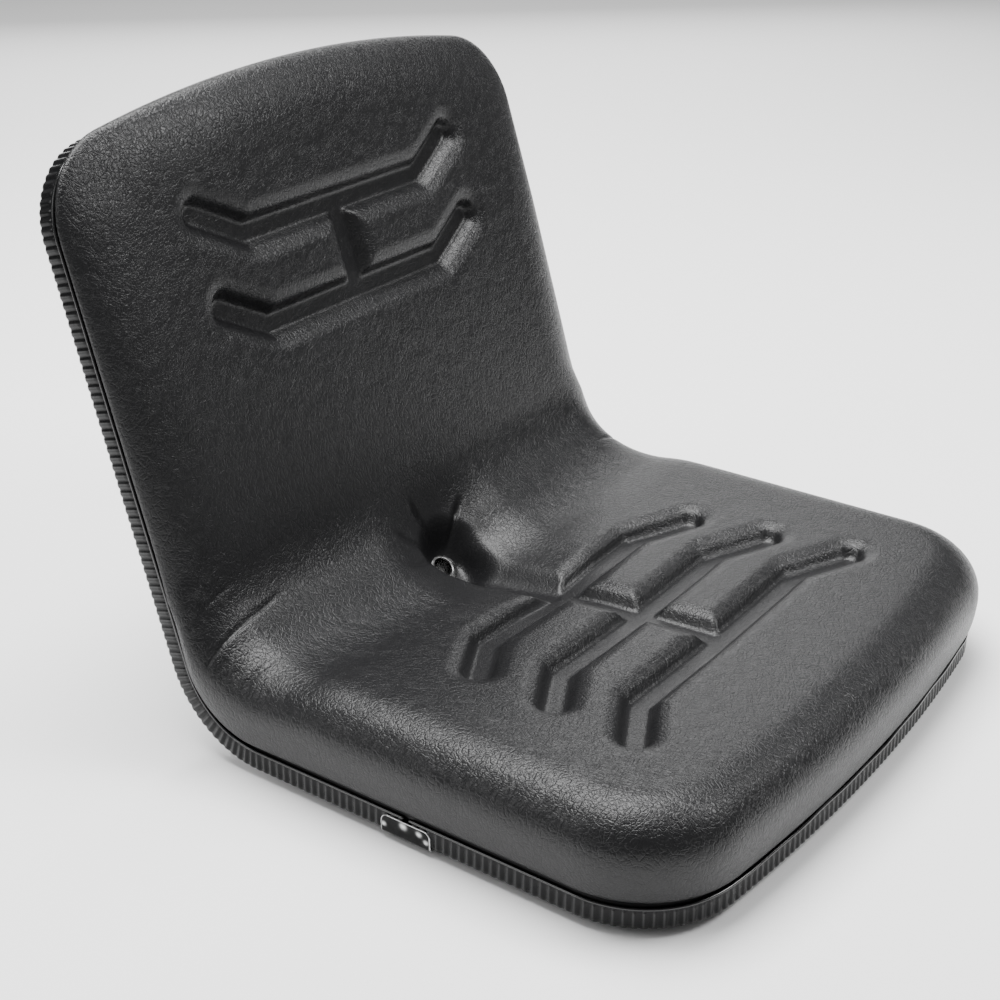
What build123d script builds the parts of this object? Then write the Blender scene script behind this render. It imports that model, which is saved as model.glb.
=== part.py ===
from build123d import *
from math import cos, radians, sin, sqrt, tan
import os

# Padded pan seat for a compact tractor: a pressed steel pan bent from the seat into the
# backrest, a moulded cushion with pressed-in grooves, and a ribbed edge trim.

# Whole seat. The rim line is the lower and rear edge of the trim, and heights are taken from it.
seat_width = 470.0             # over the trim
seat_front = 185.0             # front of the trim, forward of the mounting centre
bend_start = 147.5             # where the rim line starts to bend, behind the mounting centre
rim_height = 6.0               # rim line above the mounting face
front_arc_radius = 1470.0
front_corner_radius = 72.0
bend_radius = 76.0             # of the rim line, between seat and backrest
back_lean = 16.35              # degrees from upright
back_length = 361.0            # straight rim line above the bend
top_arc_radius = 1100.0
top_corner_radius = 55.0

# Pressed steel pan
sheet = 2.0
pan_depth = 16.5               # front face of the sheet above the rim line
pan_edge_radius = 4.0
pad_length = 252.0             # flat pad that the bolts pull against
pad_width = 280.0
pad_corner_radius = 30.0
pad_draft = 25.0               # degrees from upright
pad_offset = 10.0              # pad's centre behind the mounting centre
swage_length = 190.0           # stiffening ribs pressed into the backrest
swage_width = 34.0
swage_depth = 7.0
swage_spacing = 190.0
swage_height = 195.0           # centre of the ribs up the backrest
swage_draft = 30.0

# Mounting bolts
bolt_spacing_x = 200.0
bolt_spacing_y = 195.0
bolt_hole = 9.0
nut_across_flats = 13.0
nut_height = 6.5
nut_thread = 6.8               # tapping drill of the M8 thread
nut_clearance = 0.5            # between a nut and its pocket in the foam
bolt_room = 20.0               # depth of the pocket, for the end of the bolt

# Cushion
cover_thickness = 1.2
bulge = 5.0                    # cushion stands this far outside the trim
seat_pad_front = 75.5          # seat's top at the trim's front
seat_pad_rear = 65.0           # seat's top carried back to the rim line's corner
back_pad_low = 43.0            # backrest's front at the end of the bend
back_pad_top = 42.0            # backrest's front at the top of the rim line
pad_bend_radius = 84.0         # hollow between seat and backrest
cushion_edge_radius = 19.0
tuck_radius = 5.0              # rounded under-edge above the trim
cover_return = 25.0            # the cover's turned-under edge ends this far inside the trim
cover_end = 4.0                # lower end of the cover in the trim, above the rim line

# Pressed-in grooves
groove_floor = 15.0            # width
groove_depth = 9.5
groove_wall_draft = 22.0       # degrees from upright
groove_shoulder_draft = 56.0
groove_shoulder = 3.0          # depth of the soft shoulder
seat_groove_count = 3
seat_groove_first = 61.5       # rear cross groove, behind the mounting centre
seat_groove_rear = 112.0       # rear end of the middle groove, in the drain's funnel
seat_groove_pitch = 64.0
seat_groove_bend = 93.0        # where the rear groove turns forward, from the middle
seat_groove_spread = 6.0       # each groove in front is wider by this much a side
seat_groove_leg = 43.0         # sideways reach of the turned end
seat_groove_leg_drop = 22.0    # forward reach of the turned end
back_groove_low = 195.0        # lower groove up the backrest
back_groove_pitch = 64.0
back_groove_bend = 95.0
back_groove_leg = 41.0
back_groove_leg_rise = 22.0

# Drain through the bend of the seat
drain_turn = 36.6              # place of the drain round the bend, degrees from its start
drain_level = 34.0             # seat of the eyelet's flange above the rim line
drain_bore = 14.0
eyelet_wall = 1.0
eyelet_flange = 25.0
eyelet_flange_height = 1.6
eyelet_edge = 0.5              # chamfer round the flange and the bore
eyelet_lip = 1.5               # rolled end under the washer
eyelet_lip_reach = 2.0
eyelet_play = 0.2              # between the eyelet's tube and its holes
washer_diameter = 28.0
washer_thickness = 1.5
funnel_floor = 30.0            # diameter round the flange
funnel_height = 60.0
funnel_draft = 29.0            # degrees from the drain's axis

# Edge trim
trim_height = 15.5
trim_leg = 2.2
trim_crown = 2.5
trim_inner_leg_height = 12.0
trim_inner_leg = 2.0
trim_gap = 5.0                 # butt joint of the two ends, under the clip
lip_height = 1.8
rib_pitch = 6.0
rib_width = 3.2
rib_height = 0.8
rib_root = 0.6                 # depth that a rib is rooted in the leg

# Clip over the trim's joint
clip_length = 39.0
clip_height = 12.3
clip_inner_height = 9.0
clip_sheet = 0.9
clip_centre = 21.3             # behind the mounting centre
clip_corner_radius = 4.0
clip_play = 0.1                # between the ribs and the clip
dimple_radius = 1.6
dimple_height = 0.5
dimple_draft = 30.0
dimple_places = ((-17.0, 5.4), (-1.5, 9.5), (11.0, 8.7), (16.5, 4.7))  # along the clip and up it

# Worked out from the sizes above
half_width = seat_width / 2
bend_angle = 90 - back_lean
corner_tangent = tan(radians(bend_angle / 2))
rim_corner = bend_start + bend_radius * corner_tangent
back_direction = Vector(0, sin(radians(back_lean)), cos(radians(back_lean)))
bend_axis = Axis((0, bend_start, rim_height + bend_radius), (1, 0, 0))
seat_plane = Plane.XY.offset(rim_height)
bend_plane = Plane(origin=(0, bend_start, rim_height), x_dir=(1, 0, 0), z_dir=(0, -1, 0))
back_foot = Vector(
    0,
    bend_start + bend_radius * sin(radians(bend_angle)),
    rim_height + bend_radius * (1 - cos(radians(bend_angle))),
)
back_plane = Plane(origin=back_foot, x_dir=(1, 0, 0), z_dir=(0, -back_direction.Z, back_direction.Y))
drain_plane = Plane(
    origin=(
        0,
        bend_start + bend_radius * sin(radians(drain_turn)),
        rim_height + bend_radius * (1 - cos(radians(drain_turn))),
    ),
    x_dir=(1, 0, 0),
    z_dir=(0, -sin(radians(drain_turn)), cos(radians(drain_turn))),
)
far = 2 * seat_width
tolerance = 1e-3
flange_inset = trim_leg + cover_thickness
inner_leg_inset = flange_inset + sheet


def seat_outline(inset, rear):
    """Seat outline in plan, inset from the trim's outer face, back to the line at rear."""
    with BuildSketch(mode=Mode.PRIVATE) as outline:
        with Locations((0, rear)):
            Rectangle(seat_width - 2 * inset, far + rear, align=(Align.CENTER, Align.MAX))
        with Locations((0, front_arc_radius - seat_front)):
            Circle(front_arc_radius - inset, mode=Mode.INTERSECT)
        fillet(outline.vertices().group_by(Axis.Y)[0], front_corner_radius - inset)
    return outline.sketch


def back_outline(inset, foot):
    """Backrest outline in its own plane, inset from the trim's outer face, up from foot."""
    with BuildSketch(mode=Mode.PRIVATE) as outline:
        with Locations((0, foot)):
            Rectangle(seat_width - 2 * inset, far - foot, align=(Align.CENTER, Align.MIN))
        with Locations((0, back_length - top_arc_radius)):
            Circle(top_arc_radius - inset, mode=Mode.INTERSECT)
        fillet(outline.vertices().group_by(Axis.Y)[-1], top_corner_radius - inset)
    return outline.sketch


def bent_slab(inset, low, high):
    """Slab that runs up the seat, round the bend and up the backrest, between two heights."""
    with BuildPart() as slab:
        with BuildSketch(seat_plane.offset(low)):
            add(seat_outline(inset, bend_start))
        extrude(amount=high - low)
        with BuildSketch(bend_plane):
            with Locations((0, low)):
                Rectangle(seat_width - 2 * inset, high - low, align=(Align.CENTER, Align.MIN))
        revolve(axis=bend_axis, revolution_arc=bend_angle)
        with BuildSketch(back_plane.offset(low)):
            add(back_outline(inset, 0))
        extrude(amount=high - low)
    return slab.part


def frustum(plane, width, length, corner, depth, draft):
    """Block with rounded corners that widens by its draft as it rises from the plane."""
    with BuildPart() as block:
        with BuildSketch(plane):
            RectangleRounded(width, length, corner)
        extrude(amount=depth, taper=-draft)
    return block.part


def above_rim(point):
    """Height of a point above the rim line, square to the seat, the bend or the backrest."""
    local = back_plane.to_local_coords(point)
    if local.Y >= 0:
        return local.Z
    if point.Y <= bend_start:
        return point.Z - rim_height
    return bend_radius - sqrt((point.Y - bend_start) ** 2 + (point.Z - rim_height - bend_radius) ** 2)


def edges_at(part, height):
    """Edges of a bent slab's outline at one height, without the seams across its bend."""
    def wanted(edge):
        across = edge.geom_type == GeomType.LINE and abs(edge.tangent_at(0.5).X) > 1 - tolerance
        level = all(abs(above_rim(edge.position_at(at)) - height) < tolerance for at in (0, 0.5, 1))
        return level and not across
    return part.edges().filter_by(wanted)


def rounded_slab(inset, low, high, radius):
    """Bent slab with its upper edge rounded."""
    with BuildPart() as slab:
        add(bent_slab(inset, low, high))
        fillet(edges_at(slab.part, high), radius)
    return slab.part


def crossing(first, second):
    """Point where two lines cross, each given by two points in the side view."""
    (ay, az), (by, bz) = first
    (cy, cz), (dy, dz) = second
    along = ((cy - ay) * (dz - cz) - (cz - az) * (dy - cy)) / ((by - ay) * (dz - cz) - (bz - az) * (dy - cy))
    return (ay + along * (by - ay), az + along * (bz - az))


def on_back(up, height):
    """Side-view point at a distance up the backrest and a height in front of its rim line."""
    point = back_foot + back_direction * up + back_plane.z_dir * height
    return (point.Y, point.Z)


def cushion_lines(inside):
    """Side view of the cushion's top: the seat's line and the backrest's, inside the cover's face."""
    seat_line = (
        (-seat_front, rim_height + seat_pad_front - inside),
        (rim_corner, rim_height + seat_pad_rear - inside),
    )
    back_line = (on_back(0, back_pad_low - inside), on_back(back_length, back_pad_top - inside))
    return seat_line, back_line


def pressed_grooves(plane, paths, ends, inside):
    """Cutter for grooves with steep walls and soft shoulders, from the surface at the plane."""
    lean = radians(groove_wall_draft)
    shoulder_lean = radians(groove_shoulder_draft)
    floor_width = groove_floor + 2 * inside * (1 - sin(lean)) / cos(lean)
    shoulder_drop = inside * (sin(lean) + sin(shoulder_lean)) / (1 + cos(shoulder_lean - lean))
    wall = groove_depth + inside - groove_shoulder - shoulder_drop
    with BuildPart() as cutter:
        with BuildSketch(plane.offset(-groove_depth - inside)) as floor:
            for path in paths:
                with BuildLine():
                    Polyline(*path)
                trace(line_width=floor_width)
            with Locations(*ends):
                Circle(floor_width / 2)
        extrude(amount=wall, taper=-groove_wall_draft)
        brim = cutter.faces().sort_by(Axis(plane.origin, plane.z_dir))[-1]
        extrude(brim, amount=2 * groove_shoulder + shoulder_drop, taper=-groove_shoulder_draft)
    return cutter.part


def seat_grooves(inside):
    """Three cross grooves with ends turned forward, and the one down the middle."""
    front, rear = cushion_lines(0)[0]
    slope = (Vector(0, *rear) - Vector(0, *front)).normalized()
    level = front[1] - front[0] * slope.Z / slope.Y
    plane = Plane(origin=(0, 0, level), x_dir=(1, 0, 0), z_dir=Vector(1, 0, 0).cross(slope))
    paths = []
    ends = []
    for number in range(seat_groove_count):
        back = seat_groove_first - number * seat_groove_pitch
        turn = seat_groove_bend + number * seat_groove_spread
        tip = turn + seat_groove_leg
        forward = back - seat_groove_leg_drop
        corners = [(-tip, forward), (-turn, back), (turn, back), (tip, forward)]
        paths.append(corners)
        ends += corners
    paths.append([(0, back), (0, seat_groove_rear)])
    ends.append((0, seat_groove_rear))
    return pressed_grooves(plane, paths, ends, inside)


def back_grooves(inside):
    """Two cross grooves with ends turned up, joined by one up the middle."""
    foot, top = cushion_lines(0)[1]
    slope = (Vector(0, *top) - Vector(0, *foot)).normalized()
    plane = Plane(origin=(0, *foot), x_dir=(1, 0, 0), z_dir=Vector(1, 0, 0).cross(slope))
    tip = back_groove_bend + back_groove_leg
    paths = []
    ends = []
    for up in (back_groove_low, back_groove_low + back_groove_pitch):
        rise = up + back_groove_leg_rise
        corners = [(-tip, rise), (-back_groove_bend, up), (back_groove_bend, up), (tip, rise)]
        paths.append(corners)
        ends += corners
    paths.append([(0, back_groove_low), (0, back_groove_low + back_groove_pitch)])
    return pressed_grooves(plane, paths, ends, inside)


def drain_funnel(inside):
    """Cutter for the funnel that the drain pulls into the cushion."""
    lean = radians(funnel_draft)
    floor_radius = funnel_floor / 2 + inside * (1 - sin(lean)) / cos(lean)
    with BuildPart() as cutter:
        with BuildSketch(drain_plane.offset(drain_level - inside)):
            Circle(floor_radius)
        extrude(amount=funnel_height, taper=-funnel_draft)
    return cutter.part


def cushion_edges(block, upper):
    """Edges round the cushion's top, which the side view shows as the line upper."""
    def wanted(edge):
        across = edge.geom_type == GeomType.LINE and abs(edge.tangent_at(0.5).X) > 1 - tolerance
        points = [edge.position_at(at) for at in (0, 0.5, 1)]
        return not across and all(upper.distance_to(Vector(at.Y, at.Z)) < tolerance for at in points)
    return block.edges().filter_by(wanted)


def cushion_block(inside):
    """Moulded cushion, with its face set inside the cover's outer face."""
    cutters = (seat_grooves(inside), back_grooves(inside), drain_funnel(inside))
    seat_line, back_line = cushion_lines(inside)
    low = pan_depth + inside
    low_corner = (rim_corner - low * corner_tangent, rim_height + low)
    reach = bulge + cushion_edge_radius
    front_top = crossing(seat_line, ((-seat_front - reach, 0), (-seat_front - reach, far)))
    back_top = crossing(back_line, (on_back(back_length + reach, 0), on_back(back_length + reach, far)))
    with BuildPart() as block:
        with BuildSketch(Plane.YZ):
            with BuildLine():
                upper = FilletPolyline(
                    front_top, crossing(seat_line, back_line), back_top, radius=pad_bend_radius + inside
                )
                lower = FilletPolyline(
                    (-seat_front - reach, rim_height + low),
                    low_corner,
                    on_back(back_length + reach, low),
                    radius=bend_radius - low,
                )
                Line(upper @ 0, lower @ 0)
                Line(upper @ 1, lower @ 1)
            make_face()
        extrude(amount=half_width + bulge - inside, both=True)
        with BuildSketch(Plane.XY.offset(-far)):
            add(seat_outline(inside - bulge, far))
        extrude(amount=3 * far, mode=Mode.INTERSECT)
        with BuildSketch(back_plane.offset(-far)):
            add(back_outline(inside - bulge, -far))
        extrude(amount=3 * far, mode=Mode.INTERSECT)
        fillet(cushion_edges(block.part, upper), cushion_edge_radius - inside)
        fillet(edges_at(block.part, low), tuck_radius - inside)
        for cutter in cutters:
            add(cutter, mode=Mode.SUBTRACT)
    return block.part


def ribs_along(outline, plane, middle):
    """Places for ribs along an outline, leaving out its straight edge at the bend."""
    places = []
    for edge in outline.edges():
        if edge.geom_type == GeomType.LINE and abs(edge.tangent_at(0.5).Y) < tolerance:
            continue
        count = round(edge.length / rib_pitch)
        for number in range(count):
            at = (number + 0.5) / count
            point = edge.position_at(at)
            outward = edge.tangent_at(at).cross(Vector(0, 0, 1))
            if outward.dot(point - middle) < 0:
                outward = -outward
            root = point - outward * rib_root
            side = outward.cross(Vector(0, 0, 1))
            places.append(plane.location * Plane(origin=root, x_dir=side, z_dir=(0, 0, 1)).location)
    return places


def ribs_round_bend():
    """Places for the ribs on both sides of the bend."""
    places = []
    count = round(bend_radius * radians(bend_angle) / rib_pitch)
    for number in range(count):
        turn = radians(bend_angle * (number + 0.5) / count)
        inward = Vector(0, -sin(turn), cos(turn))
        on_rim = bend_axis.position - inward * bend_radius
        for side in (-1, 1):
            root = on_rim + Vector(side * (half_width - rib_root), 0, 0)
            outward = Vector(side, 0, 0)
            places.append(Plane(origin=root, x_dir=outward.cross(inward), z_dir=inward).location)
    return places


os.makedirs("parts", exist_ok=True)

# Pan: one steel pressing with a turned-down rim, a sunk mounting pad and two stiffening swages
pad_plane = Plane(origin=(0, pad_offset, 0))
pad_rise = rim_height + pan_depth
pad_inner = 2 * sheet * (1 - sin(radians(pad_draft))) / cos(radians(pad_draft))
swage_inner = 2 * sheet * (1 - sin(radians(swage_draft))) / cos(radians(swage_draft))
swage_floor = pan_depth - sheet - swage_depth
tube_radius = drain_bore / 2 + eyelet_wall
pan_hollow = rounded_slab(flange_inset + sheet, 0, pan_depth - sheet, pan_edge_radius - sheet)
pad_recess = frustum(
    pad_plane.offset(sheet),
    pad_width - pad_inner,
    pad_length - pad_inner,
    pad_corner_radius - pad_inner / 2,
    pad_rise - sheet,
    pad_draft,
)
with BuildPart() as seat_pan:
    add(rounded_slab(flange_inset, trim_crown, pan_depth, pan_edge_radius))
    add(pan_hollow, mode=Mode.SUBTRACT)
    add(frustum(pad_plane, pad_width, pad_length, pad_corner_radius, pad_rise, pad_draft))
    add(pad_recess, mode=Mode.SUBTRACT)
    for side in (-1, 1):
        centre = (side * swage_spacing / 2, swage_height)
        with BuildSketch(back_plane.offset(swage_floor)):
            with Locations(centre):
                SlotOverall(swage_length, swage_width, rotation=90)
        extrude(amount=swage_depth + sheet, taper=-swage_draft)
        with BuildSketch(back_plane.offset(swage_floor + sheet)):
            with Locations(centre):
                SlotOverall(swage_length - swage_inner, swage_width - swage_inner, rotation=90)
        extrude(amount=swage_depth, taper=-swage_draft, mode=Mode.SUBTRACT)
    with BuildSketch(Plane.XY):
        with GridLocations(bolt_spacing_x, bolt_spacing_y, 2, 2):
            Circle(bolt_hole / 2)
    extrude(amount=sheet, mode=Mode.SUBTRACT)
    with BuildSketch(drain_plane):
        Circle(tube_radius + eyelet_play)
    extrude(amount=drain_level, mode=Mode.SUBTRACT)
seat_pan.part.label = "seat_pan"
export_step(seat_pan.part, "parts/seat_pan.step")

# Weld nuts on the pad, one over each bolt hole
with BuildPart() as mounting_nuts:
    with BuildSketch(Plane.XY.offset(sheet)):
        with GridLocations(bolt_spacing_x, bolt_spacing_y, 2, 2):
            RegularPolygon(nut_across_flats / 2, 6, major_radius=False)
            Circle(nut_thread / 2, mode=Mode.SUBTRACT)
    extrude(amount=nut_height)
mounting_nuts.part.label = "mounting_nuts"
export_step(mounting_nuts.part, "parts/mounting_nuts.step")

# Cover: vinyl skin over the foam, turned under its edge and drawn down over the pan's rim
foam_core = cushion_block(cover_thickness)
pan_top = pan_depth + cover_thickness
pan_core = bent_slab(cover_return, 0, pan_top)
with BuildPart() as vinyl_cover:
    add(rounded_slab(trim_leg, cover_end, pan_top, pan_edge_radius + cover_thickness))
    add(rounded_slab(flange_inset, 0, pan_depth, pan_edge_radius), mode=Mode.SUBTRACT)
    add(cushion_block(0))
    add(foam_core, mode=Mode.SUBTRACT)
    add(pan_core, mode=Mode.SUBTRACT)
    with BuildSketch(drain_plane):
        Circle(tube_radius + eyelet_play)
    extrude(amount=drain_level, mode=Mode.SUBTRACT)
vinyl_cover.part.label = "vinyl_cover"
export_step(vinyl_cover.part, "parts/vinyl_cover.step")

# Foam: one moulding that fills the cover and the pan's sunk pad, with pockets for the nuts
nut_pocket = nut_across_flats / sqrt(3) + nut_clearance
with BuildPart() as foam_cushion:
    add(foam_core)
    add(bent_slab(cover_return, pan_depth, pan_top))
    add(pad_recess)
    with BuildSketch(Plane.XY.offset(sheet)):
        with GridLocations(bolt_spacing_x, bolt_spacing_y, 2, 2):
            Circle(nut_pocket)
    extrude(amount=bolt_room, mode=Mode.SUBTRACT)
    with BuildSketch(drain_plane):
        Circle(tube_radius + eyelet_play)
    extrude(amount=drain_level, mode=Mode.SUBTRACT)
foam_cushion.part.label = "foam_cushion"
export_step(foam_cushion.part, "parts/foam_cushion.step")

# Drain eyelet: flanged tube from the funnel's floor through the foam and the pan
washer_top = pan_depth - sheet
washer_low = washer_top - washer_thickness
with BuildPart() as drain_eyelet:
    with BuildSketch(drain_plane.offset(washer_low - eyelet_lip)):
        Circle(tube_radius)
    extrude(amount=drain_level + eyelet_flange_height - washer_low + eyelet_lip)
    with BuildSketch(drain_plane.offset(washer_low - eyelet_lip)):
        Circle(tube_radius + eyelet_lip_reach)
    extrude(amount=eyelet_lip)
    with BuildSketch(drain_plane.offset(drain_level)):
        Circle(eyelet_flange / 2)
    extrude(amount=eyelet_flange_height)
    with BuildSketch(drain_plane):
        Circle(drain_bore / 2)
    extrude(amount=funnel_height, mode=Mode.SUBTRACT)
    drain_axis = Axis(drain_plane.origin, drain_plane.z_dir)
    brim = drain_eyelet.edges().filter_by(GeomType.CIRCLE).sort_by(drain_axis)
    chamfer(brim[-2:], eyelet_edge)
drain_eyelet.part.label = "drain_eyelet"
export_step(drain_eyelet.part, "parts/drain_eyelet.step")

# Washer under the pan, curved to its bend
with BuildPart() as eyelet_washer:
    with BuildSketch(bend_plane):
        with Locations((0, washer_low)):
            Rectangle(washer_diameter, washer_thickness, align=(Align.CENTER, Align.MIN))
    revolve(axis=bend_axis, revolution_arc=bend_angle)
    with BuildSketch(drain_plane):
        Circle(washer_diameter / 2)
        Circle(tube_radius + eyelet_play, mode=Mode.SUBTRACT)
    extrude(amount=drain_level, mode=Mode.INTERSECT)
eyelet_washer.part.label = "eyelet_washer"
export_step(eyelet_washer.part, "parts/eyelet_washer.step")

# Edge trim: one ribbed strip of U section pushed over the rim and the cover's edge
lip_low = trim_height - lip_height
rib_length = lip_low + rib_root
seat_rim = seat_outline(0, bend_start)
back_rim = back_outline(0, 0)
rib_places = ribs_along(seat_rim, seat_plane, Vector(0, 0, 0))
rib_places += ribs_along(back_rim, back_plane, Vector(0, back_length / 2, 0))
rib_places += ribs_round_bend()
with BuildPart() as edge_trim:
    add(bent_slab(0, 0, trim_height))
    add(bent_slab(-rib_height, lip_low, trim_height))
    with Locations(*rib_places):
        Box(rib_width, rib_height + rib_root, rib_length, align=(Align.CENTER, Align.MIN, Align.MIN))
    add(bent_slab(trim_leg, trim_crown, 2 * trim_height), mode=Mode.SUBTRACT)
    add(bent_slab(inner_leg_inset, 0, trim_inner_leg_height))
    add(bent_slab(inner_leg_inset + trim_inner_leg, -trim_crown, 2 * trim_height), mode=Mode.SUBTRACT)
    with Locations((-half_width, clip_centre, rim_height + trim_height / 2)):
        Box(2 * trim_height, trim_gap, 2 * trim_height, mode=Mode.SUBTRACT)
edge_trim.part.label = "edge_trim"
export_step(edge_trim.part, "parts/edge_trim.step")

# Clip: folded steel strip over the trim's joint, with dimples pressed outwards
clip_outer = half_width + rib_height + clip_play + clip_sheet
clip_inner = half_width - inner_leg_inset - trim_inner_leg - clip_play - clip_sheet
clip_low = -clip_play - clip_sheet
clip_plane = Plane(origin=(0, clip_centre, rim_height), x_dir=(-1, 0, 0), z_dir=(0, 1, 0))
dimple_plane = Plane(origin=(-clip_outer, clip_centre, rim_height), x_dir=(0, -1, 0), z_dir=(-1, 0, 0))
with BuildPart() as trim_joint_clip:
    with BuildSketch(clip_plane):
        with Locations((clip_inner, clip_low)):
            Rectangle(clip_outer - clip_inner, clip_sheet, align=Align.MIN)
            Rectangle(clip_sheet, clip_inner_height - clip_low, align=Align.MIN)
        with Locations((clip_outer - clip_sheet, clip_low)):
            Rectangle(clip_sheet, clip_height - clip_low, align=Align.MIN)
    extrude(amount=clip_length / 2, both=True)
    tops = trim_joint_clip.edges().filter_by(Axis.X).group_by(Axis.Z)[-1]
    fillet(tops, clip_corner_radius)
    with BuildSketch(dimple_plane):
        with Locations(*dimple_places):
            Circle(dimple_radius)
    extrude(amount=dimple_height, taper=dimple_draft)
trim_joint_clip.part.label = "trim_joint_clip"
export_step(trim_joint_clip.part, "parts/trim_joint_clip.step")
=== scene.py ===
from math import asin, atan2, cos, hypot, pi, radians, sin, sqrt, tan

import bmesh
import bpy
import numpy as np
from mathutils import Matrix, Vector


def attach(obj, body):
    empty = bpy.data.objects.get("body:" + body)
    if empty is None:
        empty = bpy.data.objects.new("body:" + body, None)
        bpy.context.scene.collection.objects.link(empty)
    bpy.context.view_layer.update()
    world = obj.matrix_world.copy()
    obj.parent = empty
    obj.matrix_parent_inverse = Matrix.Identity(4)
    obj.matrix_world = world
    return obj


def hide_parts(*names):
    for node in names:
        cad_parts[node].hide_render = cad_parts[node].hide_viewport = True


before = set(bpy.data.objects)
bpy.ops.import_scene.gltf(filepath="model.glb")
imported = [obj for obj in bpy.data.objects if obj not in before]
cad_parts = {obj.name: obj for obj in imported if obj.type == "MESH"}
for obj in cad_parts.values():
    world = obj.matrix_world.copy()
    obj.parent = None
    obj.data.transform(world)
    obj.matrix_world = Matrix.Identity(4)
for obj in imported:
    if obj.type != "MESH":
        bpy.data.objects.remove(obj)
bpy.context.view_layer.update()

# Seat pan: a 2 mm steel pressing, bent from the seat into the backrest, with a sunk pad below.
# It is painted satin black, and the paint has dulled a little lighter in patches.


class Wire:
    """A socket in a material's node tree. Arithmetic on it adds Math nodes."""

    def __init__(self, tree, socket=None):
        self.tree = tree
        self.socket = socket

    def node(self, kind, settings, sockets, out=0):
        made = self.tree.nodes.new(kind)
        for name, value in settings.items():
            setattr(made, name, value)
        for name, value in sockets.items():
            if isinstance(value, Wire):
                self.tree.links.new(value.socket, made.inputs[name])
            else:
                made.inputs[name].default_value = value
        return Wire(self.tree, made.outputs[out])

    def maths(self, operation, first, second):
        return self.node("ShaderNodeMath", {"operation": operation}, {0: first, 1: second})

    def __add__(self, other):
        return self.maths("ADD", self, other)

    def __sub__(self, other):
        return self.maths("SUBTRACT", self, other)

    def __rsub__(self, other):
        return self.maths("SUBTRACT", other, self)

    def __mul__(self, other):
        return self.maths("MULTIPLY", self, other)

    __radd__ = __add__
    __rmul__ = __mul__

    def between(self, low, high):
        """0 below low, 1 above high, smooth in the middle."""
        return self.node(
            "ShaderNodeMapRange",
            {"interpolation_type": "SMOOTHSTEP"},
            {"Value": self, "From Min": low, "From Max": high},
        )

    def tint(self, first, second):
        """First colour where this is 0, second where it is 1."""
        colours = {"Factor": self, 6: first, 7: second}
        return self.node("ShaderNodeMix", {"data_type": "RGBA"}, colours, out=2)


class Finish:
    """One material: a Principled shader, with the object's own coordinates in metres."""

    def __init__(self, name, colour, roughness, metallic=0.0):
        self.material = bpy.data.materials.new(name)
        self.material.use_nodes = True
        tree = self.material.node_tree
        self.shader = tree.nodes["Principled BSDF"]
        self.shader.inputs["Base Color"].default_value = (*colour, 1)
        self.shader.inputs["Roughness"].default_value = roughness
        self.shader.inputs["Metallic"].default_value = metallic
        self.wire = Wire(tree)
        self.place = self.wire.node("ShaderNodeTexCoord", {}, {}, out="Object")

    def noise(self, scale, detail=2.0):
        sockets = {"Vector": self.place, "Scale": scale, "Detail": detail}
        return self.wire.node("ShaderNodeTexNoise", {}, sockets)

    def mark(self, name):
        return self.wire.node("ShaderNodeAttribute", {"attribute_name": name}, {}, out="Fac")

    def feed(self, name, wire):
        self.wire.tree.links.new(wire.socket, self.shader.inputs[name])

    def bump(self, height, distance, strength):
        sockets = {"Height": height, "Distance": distance, "Strength": strength}
        self.feed("Normal", self.wire.node("ShaderNodeBump", {}, sockets))


def dress(node, finish):
    """Gives a carried-over solid its finish."""
    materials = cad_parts[node].data.materials
    materials.clear()
    materials.append(finish.material)


pan_paint = Finish("pan_paint", (0.016, 0.016, 0.017), 0.45)
pan_specks = pan_paint.noise(420.0)
pan_haze = pan_paint.noise(9.0, 4.0)
pan_rub = (pan_haze * 0.6 + pan_specks * 0.4).between(0.56, 0.66)
pan_paint.feed("Base Color", pan_rub.tint((0.014, 0.014, 0.015, 1), (0.024, 0.024, 0.024, 1)))
pan_paint.feed("Roughness", pan_haze * 0.25 + 0.32)
pan_paint.bump(pan_specks, 0.00012, 0.5)
dress("seat_pan", pan_paint)

# Weld nuts: four hexagon nuts of zinc-plated steel, welded to the pad for the bolts of the mount.
# The plating is bright, and dulled in patches by the welding.
nut_zinc = Finish("nut_zinc", (0.5, 0.49, 0.46), 0.35, 1.0)
nut_stain = nut_zinc.noise(160.0, 3.0)
nut_zinc.feed("Base Color", nut_stain.tint((0.28, 0.26, 0.23, 1), (0.62, 0.61, 0.58, 1)))
nut_zinc.feed("Roughness", nut_stain * 0.4 + 0.2)
dress("mounting_nuts", nut_zinc)

# Cushion: one foam moulding in a vinyl skin, heat-pressed to it in the grooves and pulled down by
# the drain eyelet. It stands a little over the trim, and its lower edge is tucked in behind the lip.
mm = 0.001
half_width = 240.0
bulge = 5.0
rim_height = 6.0
bend_start = 147.5
bend_radius = 76.0
lean = radians(16.35)
bend_length = bend_radius * (pi / 2 - lean)
bend_end = bend_start + bend_length
back_length = 361.0
back_along = np.array((sin(lean), cos(lean)))
back_out = np.array((-cos(lean), sin(lean)))
bend_centre = np.array((bend_start, rim_height + bend_radius))
back_foot = bend_centre - bend_radius * back_out

# Ends of the outline in the flat: where the end is, its sense, its arc and its corner.
front_end = {"at": -190.0, "sense": -1, "arc": 1475.0, "corner": 77.0}
top_end = {"at": bend_end + back_length + bulge, "sense": 1, "arc": 1105.0, "corner": 62.0}
for end in (front_end, top_end):
    run = end["arc"] - end["corner"]
    across = half_width - end["corner"]
    end["turn"] = asin(across / run)
    end["arc_centre"] = end["at"] - end["sense"] * end["arc"]
    end["corner_centre"] = end["arc_centre"] + end["sense"] * sqrt(run ** 2 - across ** 2)


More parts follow.
